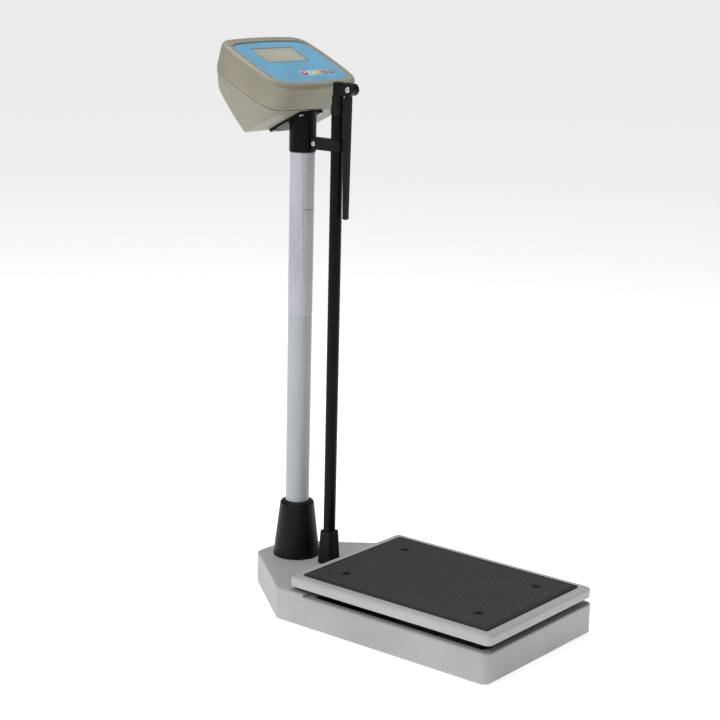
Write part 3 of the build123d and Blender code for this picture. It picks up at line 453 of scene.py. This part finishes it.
def battery_shell(name, colour):
    """A sealed battery's black case, ribbed along its sides and dulled by handling."""
    finish = Finish(name)
    rib_pitch = 6 * MM
    rib = (finish.axes()[0] % rib_pitch).near(rib_pitch / 2, 1.8 * MM)
    cloud = finish.clouds(40.0)
    finish.set({"base_color": finish.mix(cloud, rgba(colour, 0.8), rgba(colour, 1.4)),
                "roughness": 0.5 + (cloud - 0.5) * 0.3,
                "normal": finish.bump(rib, 0.0002, finish.bump(finish.clouds(700.0), 0.00005))})
    return finish


def transit_film(name, colour, wrap):
    """Clouded protective film with its taped edges and the dirt that they catch."""
    finish = Finish(name, coat_weight=0.3, coat_roughness=0.25)
    x, y, z = finish.axes()
    axis = middle("column_tube")
    turn = (y - axis.y).math("ARCTAN2", y - axis.y, x - axis.x)
    seam = wrap.seam_bearing + (wrap.film_high - z) * wrap.seam_lean
    past = turn - seam
    clouding = finish.clouds(26.0, 4.0, finish.stretched(1, 1, 0.35))
    strands = finish.clouds(380.0, 3.0, finish.stretched(1, 1, 0.06))
    tape_turn = 1.45
    taped = (past > 0.0) * (past < tape_turn) * (z > wrap.tape_low)
    tone = finish.mix(clouding.ramp(0.35, 0.68), rgba(colour, 0.9), rgba(colour, 1.05))
    tone = finish.mix(taped * 0.3, tone, rgba(screen(171, 166, 172)))
    broken = finish.clouds(90.0, 3.0).ramp(0.4, 0.52)
    edge = past.near(0.0, 0.017) * (z > wrap.tape_low) * broken
    across = (z.near(wrap.tape_low, 0.0008) + z.near(wrap.tape_high, 0.0007)) * taped * broken
    dirt = (edge + across).math("MINIMUM", edge + across, 1.0)
    finish.set({"base_color": finish.mix(dirt * 0.75, tone, rgba(screen(84, 84, 92))),
                "roughness": 0.3 + clouding * 0.2,
                "normal": finish.bump(strands + dirt, 0.00012)})
    return finish


# ---------------------------------------------------------------- mesh helpers
def put_on(finish, *nodes):
    """Gives CAD nodes a finish."""
    for name in nodes:
        node = frame["nodes"][name]
        node.data.materials.clear()
        node.data.materials.append(finish.material)


def piece(name, mesh, body, finish, smooth=True):
    """Makes an object of a bmesh, and lets it ride on a body in the finish that it is given."""
    bmesh.ops.recalc_face_normals(mesh, faces=mesh.faces[:])
    data = bpy.data.meshes.new(name)
    mesh.to_mesh(data)
    mesh.free()
    data.materials.append(finish.material)
    for polygon in data.polygons:
        polygon.use_smooth = smooth
    made = bpy.data.objects.new(name, data)
    bpy.context.scene.collection.objects.link(made)
    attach(made, body)
    return made


def pip_field(sizes):
    """The mat's raised pips: small square studs in rows, inside its plain border."""
    low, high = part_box("platform_mat")
    plug_low, plug_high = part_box("mat_plugs")
    centre = middle("platform_mat")
    reach = Vector(((plug_high.x - plug_low.x) / 2, (plug_high.y - plug_low.y) / 2))
    plug_radius = 5.5 * MM
    plugs = [Vector((centre.x + across * (reach.x - plug_radius),
                     centre.y + along * (reach.y - plug_radius)))
             for across in (-1, 1) for along in (-1, 1)]
    mesh = bmesh.new()
    sunk = 0.2 * MM
    crown_share = 0.78
    for vert in bmesh.ops.create_cube(mesh, size=1.0)["verts"]:
        width = sizes.pip_width * (crown_share if vert.co.z > 0 else 1.0)
        vert.co.x *= width
        vert.co.y *= width
        vert.co.z = sizes.pip_height if vert.co.z > 0 else -sunk
    crown = [edge for edge in mesh.edges if min(vert.co.z for vert in edge.verts) > 0]
    bmesh.ops.bevel(mesh, geom=crown,
                    offset=0.25 * MM, affect="EDGES", segments=1, profile=0.5, material=-1)
    stud = bpy.data.meshes.new("stud")
    mesh.to_mesh(stud)
    mesh.clear()
    plug_room = plug_radius + sizes.pip_width * 0.8
    columns = int((high.x - low.x - 2 * sizes.mat_border) / sizes.pip_pitch)
    rows = int((high.y - low.y - 2 * sizes.mat_border) / sizes.pip_pitch)
    for column in range(columns):
        for row in range(rows):
            spot = Vector((centre.x + (column - (columns - 1) / 2) * sizes.pip_pitch,
                           centre.y + (row - (rows - 1) / 2) * sizes.pip_pitch))
            if min((spot - plug).length for plug in plugs) < plug_room:
                continue
            first = len(mesh.verts)
            mesh.from_mesh(stud)
            mesh.verts.ensure_lookup_table()
            bmesh.ops.translate(mesh, verts=mesh.verts[first:], vec=(spot.x, spot.y, high.z))
    bpy.data.meshes.remove(stud)
    return mesh


def film_sleeve(wrap):
    """The transit film round the column: a thin shell with creases and a lapped seam."""
    low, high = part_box("column_film")
    axis = middle("column_tube")
    inner = (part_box("column_tube")[1].x - axis.x) + 0.05 * MM
    outer = inner + wrap.film_thickness
    rings = 130
    turns = 120
    lap_turn = 1.3
    mesh = bmesh.new()
    heights = [low.z + (high.z - low.z) * step / rings for step in range(rings + 1)]
    outline = [mesh.verts.new((axis.x + outer, axis.y, height)) for height in heights]
    outline += [mesh.verts.new((axis.x + inner, axis.y, height))
                for height in reversed(heights)]
    loop = [mesh.edges.new((a, b)) for a, b in zip(outline, outline[1:] + outline[:1])]
    bmesh.ops.spin(mesh, geom=outline + loop, cent=(axis.x, axis.y, 0), axis=(0, 0, 1),
                   dvec=(0, 0, 0), angle=math.tau, steps=turns, use_merge=True)
    bmesh.ops.remove_doubles(mesh, verts=mesh.verts[:], dist=1e-7)
    for vert in mesh.verts:
        away = Vector((vert.co.x - axis.x, vert.co.y - axis.y, 0))
        if away.length < (inner + outer) / 2:
            continue
        turn = math.atan2(away.y, away.x)
        seam = wrap.seam_bearing + (wrap.film_high - vert.co.z) * wrap.seam_lean
        past = (turn - seam) % math.tau
        lap = 0.0
        if vert.co.z > wrap.tape_low:
            lap = wrap.lap_height * max(0.0, 1 - past / lap_turn)
        crease = noise.noise(Vector((math.cos(turn) * 2.2, math.sin(turn) * 2.2, vert.co.z * 14)))
        fold = noise.noise(Vector((math.cos(turn) * 7, math.sin(turn) * 7, vert.co.z * 30 + 9)))
        rise = wrap.crease_height * (max(0.0, crease) + 0.5 * max(0.0, fold))
        vert.co += away.normalized() * (lap + rise)
    return mesh


# ---------------------------------------------------------------- settings
def colour_setting(name, description, red, green, blue):
    """A colour that the user can change."""
    return FloatVectorProperty(name=name, description=description, subtype="COLOR", size=3,
                               min=0.0, max=1.0, default=screen(red, green, blue))


def length_setting(name, description, default):
    """A length in metres that the user can change."""
    return FloatProperty(name=name, description=description, default=default, min=0.0,
                         unit="LENGTH", precision=5)


class ScaleColours(bpy.types.PropertyGroup):
    """Colours of the scale's finishes."""

    housing: colour_setting("Base moulding", "The base's grey plastic", 176, 178, 177)
    coat: colour_setting("Cover paint", "Powder paint of the platform's cover", 184, 186, 184)
    column: colour_setting("Column paint", "Powder paint of the column", 180, 185, 188)
    black: colour_setting("Black plastic", "Cone, clamp, collars and arm", 14, 14, 15)
    tube: colour_setting("Rod paint", "Black paint of the height rod and its bracket", 10, 10, 11)
    mat: colour_setting("Mat rubber", "The ribbed mat", 63, 63, 67)
    console: colour_setting("Console moulding", "The console's beige plastic", 148, 143, 125)
    underside: colour_setting("Console underside", "The lower case's plastic", 146, 142, 127)
    panel: colour_setting("Panel blue", "Ground colour of the panel's overlay", 96, 165, 200)
    display: colour_setting("Display grey", "The display behind its window", 204, 204, 188)
    film: colour_setting("Transit film", "Clouded film on the column", 184, 183, 192)
    steel: colour_setting("Zinc plating", "Screws, nuts and plates", 205, 207, 210)
    aluminium: colour_setting("Aluminium", "Load cell and its spacers", 214, 216, 218)
    board: colour_setting("Board green", "The circuit board's mask", 26, 92, 52)
    battery: colour_setting("Battery case", "The battery's plastic", 44, 44, 46)


class ScaleDetails(bpy.types.PropertyGroup):
    """Sizes of the details that are added to the frame."""

    pip_pitch: length_setting("Pip pitch", "Spacing of the mat's pips", 5.5 * MM)
    pip_width: length_setting("Pip width", "Width of one pip at its foot", 4.2 * MM)
    pip_height: length_setting("Pip height", "Height of the pips over the mat", 0.7 * MM)
    mat_border: length_setting("Mat border", "Plain band round the pips", 6.5 * MM)
    film_thickness: length_setting("Film thickness", "Thickness of the transit film", 0.2 * MM)
    crease_height: length_setting("Crease height", "How far the film's creases stand off", 0.5 * MM)
    lap_height: length_setting("Lap height", "Step at the film's lapped edge", 0.35 * MM)
    film_high: length_setting("Seam top", "Height at which the seam leaves its bearing", 0.700)
    tape_high: length_setting("Upper tape edge", "Height of the upper tape edge", 0.620)
    tape_low: length_setting("Lower tape edge", "Height of the lower tape edge", 0.505)
    seam_bearing: FloatProperty(name="Seam bearing", subtype="ANGLE",
                                description="Where the seam starts round the column",
                                default=math.radians(-139.0))
    seam_lean: FloatProperty(name="Seam lean",
                             description="Turn of the seam per metre of its height",
                             default=math.radians(80.0))


class ScaleStage(bpy.types.PropertyGroup):
    """Camera, lights and floor."""

    floor_size: length_setting("Floor size", "Side of the floor", 120.0)
    sky: FloatProperty(name="Sky light", description="Strength of the even light", default=0.25)
    key_power: FloatProperty(name="Key power", description="Power of the large key light",
                             default=36.0, unit="POWER")
    lens: FloatProperty(name="Lens", description="Focal length on a 36 mm frame",
                        default=90.9, unit="CAMERA")
    bearing: FloatProperty(name="Camera bearing", description="Turn of the view round the scale",
                           subtype="ANGLE", default=math.radians(-51.557))
    elevation: FloatProperty(name="Camera elevation", description="Tilt of the view over level",
                             subtype="ANGLE", default=math.radians(13.195))
    roll: FloatProperty(name="Camera roll", description="Turn of the picture",
                        subtype="ANGLE", default=math.radians(1.335))


# ---------------------------------------------------------------- operators
class SCALE_OT_base(bpy.types.Operator):
    """Finish the base housing, its plate, feet and screws"""

    bl_idname = "column_scale.base"
    bl_label = "Base"

    def execute(self, context):
        colours = context.scene.scale_colours
        put_on(moulded_plastic("base_moulding", colours.housing, 0.46, 1100.0), "base_housing")
        put_on(zinc_plate("rolled_plate", colours.steel, 40.0, 0.38), "base_plate")
        put_on(zinc_plate("plated_fastener", colours.steel), "foot_nuts", "housing_screws")
        put_on(rubber("foot_rubber", screen(34, 34, 35)), *FEET)
        return {"FINISHED"}


class SCALE_OT_weighing(bpy.types.Operator):
    """Finish the load cell with its spacers, bolts and stops"""

    bl_idname = "column_scale.weighing"
    bl_label = "Weighing mechanism"

    def execute(self, context):
        colours = context.scene.scale_colours
        put_on(milled_aluminium("cell_aluminium", colours.aluminium),
               "load_cell", "lower_spacer", "upper_spacer")
        put_on(zinc_plate("cell_bolt_zinc", colours.steel, 120.0, 0.28),
               "lower_cell_bolts", "upper_cell_bolts", "overload_stops")
        put_on(rubber("cable_jacket", screen(30, 30, 30), 0.55), "signal_cable")
        return {"FINISHED"}


class SCALE_OT_platform(bpy.types.Operator):
    """Finish the platform's frame and cover, and raise the pips of its mat"""

    bl_idname = "column_scale.platform"
    bl_label = "Platform"

    def execute(self, context):
        colours = context.scene.scale_colours
        details = context.scene.scale_details
        put_on(powder_coat("frame_paint", colours.black, 0.4), "platform_frame")
        put_on(rubber("cushion_rubber", screen(40, 40, 40)), "platform_cushions")
        put_on(powder_coat("cover_paint", colours.coat, 0.42), "platform_cover")
        put_on(zinc_plate("cover_screw_zinc", colours.steel), "cover_screws")
        # Painted shade: the mat under the pips gets the mat colour darkened to a quarter, so the
        # grooves between the pips look shaded; the pips keep the full mat colour.
        groove_painted_shade_share = 0.25
        groove_painted_shade_colour = [groove_painted_shade_share * value for value in colours.mat]
        put_on(rubber("mat_rubber", groove_painted_shade_colour, 0.62), "platform_mat")
        put_on(satin_black("plug_plastic", screen(6, 6, 7), 0.7), "mat_plugs")
        worn = rubber("worn_pip_rubber", colours.mat, 0.48, 0.4)
        piece("mat_pips", pip_field(details), "platform", worn, smooth=False)
        return {"FINISHED"}


class SCALE_OT_column(bpy.types.Operator):
    """Finish the column, its cone and bracket, and wrap the transit film"""

    bl_idname = "column_scale.column"
    bl_label = "Column"

    def execute(self, context):
        colours = context.scene.scale_colours
        details = context.scene.scale_details
        put_on(powder_coat("column_paint", colours.column, 0.36), "column_tube")
        put_on(powder_coat("stand_paint", colours.black, 0.45), "column_stand", "column_socket")
        put_on(satin_black("cone_plastic", colours.black, 0.42), "column_cone")
        put_on(drawn_tube_paint("bracket_paint", colours.tube, 0.36), "head_bracket")
        put_on(zinc_plate("column_bolt_zinc", colours.steel, 110.0, 0.3),
               "stand_bolts", "column_bolts", "bracket_screws")
        film = transit_film("transit_film", colours.film, details)
        sleeve = piece("film_sleeve", film_sleeve(details), "base", film)
        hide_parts("column_film")
        return {"FINISHED"}


class SCALE_OT_console(bpy.types.Operator):
    """Finish the console's case, panel, display, keys and inner parts"""

    bl_idname = "column_scale.console"
    bl_label = "Console"

    def execute(self, context):
        colours = context.scene.scale_colours
        put_on(moulded_plastic("console_moulding", colours.console, 0.42, 1300.0, dust=0.08),
               "upper_case")
        put_on(moulded_plastic("underside_moulding", colours.underside, 0.46, 1300.0), "lower_case")
        put_on(panel_print("panel_print", colours), "panel_overlay")
        put_on(display_lens("display_lens", colours.display), "lcd_window")
        put_on(display_glass("display_glass", colours.display), "lcd_module")
        caps = (((196, 62, 70), (244, 236, 232)), ((196, 222, 234), (190, 96, 104)),
                ((222, 206, 120), (176, 84, 60)), ((150, 142, 156), (96, 84, 104)),
                ((152, 146, 160), (96, 84, 104)))
        for key, (cap, mark) in zip(KEYS, caps):
            put_on(key_cap(f"{key}_cap", screen(*cap), screen(*mark), key), key)
        put_on(circuit_board("circuit_board", colours.board), "main_board")
        put_on(satin_black("switch_plastic", screen(36, 36, 38), 0.45), "key_switches")
        put_on(battery_shell("battery_shell", colours.battery), "battery")
        put_on(satin_black("socket_plastic", colours.black, 0.4), "charger_socket")
        put_on(zinc_plate("case_screw_zinc", colours.steel), "case_screws", "board_screws")
        return {"FINISHED"}


class SCALE_OT_rod(bpy.types.Operator):
    """Finish the height rod, its clamp, collars, head and arm"""

    bl_idname = "column_scale.rod"
    bl_label = "Height rod"

    def execute(self, context):
        colours = context.scene.scale_colours
        middle_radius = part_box("rod_middle_tube")[1].x
        inner_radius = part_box("rod_inner_tube")[1].x
        put_on(drawn_tube_paint("outer_tube_paint", colours.tube, 0.34), "rod_outer_tube")
        put_on(drawn_tube_paint("middle_tube_paint", colours.tube, 0.3, middle_radius),
               "rod_middle_tube")
        put_on(drawn_tube_paint("inner_tube_paint", colours.tube, 0.3, inner_radius),
               "rod_inner_tube")
        put_on(satin_black("rod_plastic", colours.black, 0.38), "outer_tube_collar",
               "middle_tube_collar", "arm_head", "measuring_arm")
        put_on(satin_black("clamp_plastic", colours.black, 0.44, 1100.0), "rod_clamp", "rod_foot")
        put_on(satin_black("glide_nylon", screen(40, 40, 42), 0.5), "middle_tube_glide",
               "inner_tube_glide")
        put_on(zinc_plate("rod_screw_zinc", colours.steel, 140.0, 0.24), "rod_foot_screws",
               "clamp_screw", "arm_pin")
        return {"FINISHED"}


class SCALE_OT_stage(bpy.types.Operator):
    """Lay the pale floor, hang the soft lights and set up the camera"""

    bl_idname = "column_scale.stage"
    bl_label = "Stage"

    def execute(self, context):
        stage = context.scene.scale_stage
        mesh = bmesh.new()
        bmesh.ops.create_grid(mesh, x_segments=8, y_segments=8, size=stage.floor_size / 2)
        data = bpy.data.meshes.new("floor")
        mesh.to_mesh(data)
        mesh.free()
        floor = bpy.data.objects.new("floor", data)
        context.scene.collection.objects.link(floor)
        paper = Finish("floor_paper", roughness=0.85, emission_strength=0.62,
                       emission_color=(1.0, 1.0, 1.0, 1.0))
        paper.set({"base_color": paper.mix(paper.clouds(3.0) * 0.4, rgba(screen(238, 238, 238)),
                                           rgba(screen(232, 232, 233)))})
        data.materials.append(paper.material)

        context.scene.view_settings.view_transform = "Standard"
        world = bpy.data.worlds.new("studio")
        context.scene.world = world
        world.use_nodes = True
        sky = world.node_tree.nodes["Background"]
        sky.inputs["Color"].default_value = (1.0, 1.0, 1.0, 1.0)
        seen = world.node_tree.nodes.new("ShaderNodeLightPath")
        strength = world.node_tree.nodes.new("ShaderNodeMapRange")
        strength.inputs["To Min"].default_value = stage.sky
        strength.inputs["To Max"].default_value = FAR_FLOOR_LIGHT
        world.node_tree.links.new(seen.outputs["Is Camera Ray"], strength.inputs["Value"])
        world.node_tree.links.new(strength.outputs[0], sky.inputs["Strength"])

        for name, spot, size, share in LAMPS:
            lamp = bpy.data.lights.new(name, "AREA")
            lamp.energy = stage.key_power * share
            lamp.size = size
            hung = bpy.data.objects.new(name, lamp)
            hung.location = spot
            hung.rotation_euler = (Vector(spot) - LAMPS_AIM).to_track_quat("Z", "Y").to_euler()
            context.scene.collection.objects.link(hung)

        bearing, elevation, roll = stage.bearing, stage.elevation, stage.roll
        back = Vector((math.sin(bearing) * math.cos(elevation),
                       -math.cos(bearing) * math.cos(elevation), math.sin(elevation)))
        level = Vector((math.cos(bearing), math.sin(bearing), 0.0))
        upward = back.cross(level)
        across = level * math.cos(roll) + upward * math.sin(roll)
        lens = bpy.data.cameras.new("camera")
        lens.sensor_width = 36.0
        lens.lens = stage.lens
        camera = bpy.data.objects.new("camera", lens)
        turn = Matrix((across, back.cross(across), back)).transposed().to_4x4()
        camera.matrix_world = Matrix.Translation(CAMERA_PLACE) @ turn
        context.scene.collection.objects.link(camera)
        context.scene.camera = camera
        return {"FINISHED"}


class SCALE_PT_sidebar(bpy.types.Panel):
    """The scale's settings and the buttons that build it"""

    bl_idname = "SCALE_PT_sidebar"
    bl_label = "Column scale"
    bl_space_type = "VIEW_3D"
    bl_region_type = "UI"
    bl_category = "Column scale"

    def draw(self, context):
        for group in ("scale_colours", "scale_details", "scale_stage"):
            settings = getattr(context.scene, group)
            for key in settings.__annotations__:
                self.layout.prop(settings, key)
        for operator in OPERATORS:
            self.layout.operator(operator.bl_idname)


OPERATORS = (SCALE_OT_stage, SCALE_OT_base, SCALE_OT_weighing, SCALE_OT_platform, SCALE_OT_column,
             SCALE_OT_console, SCALE_OT_rod)
GROUPS = (ScaleColours, ScaleDetails, ScaleStage)
CLASSES = GROUPS + OPERATORS + (SCALE_PT_sidebar,)


def register():
    """Registers the classes and hangs the settings on the scene."""
    for entry in CLASSES:
        bpy.utils.register_class(entry)
    bpy.types.Scene.scale_colours = PointerProperty(type=ScaleColours)
    bpy.types.Scene.scale_details = PointerProperty(type=ScaleDetails)
    bpy.types.Scene.scale_stage = PointerProperty(type=ScaleStage)


def unregister():
    """Takes the settings and the classes away again."""
    for group in ("scale_colours", "scale_details", "scale_stage"):
        delattr(bpy.types.Scene, group)
    for entry in reversed(CLASSES):
        bpy.utils.unregister_class(entry)


def main():
    """Builds the whole scene."""
    register()
    for operator in OPERATORS:
        family, verb = operator.bl_idname.split(".")
        getattr(getattr(bpy.ops, family), verb)()


if __name__ == "__main__":
    main()
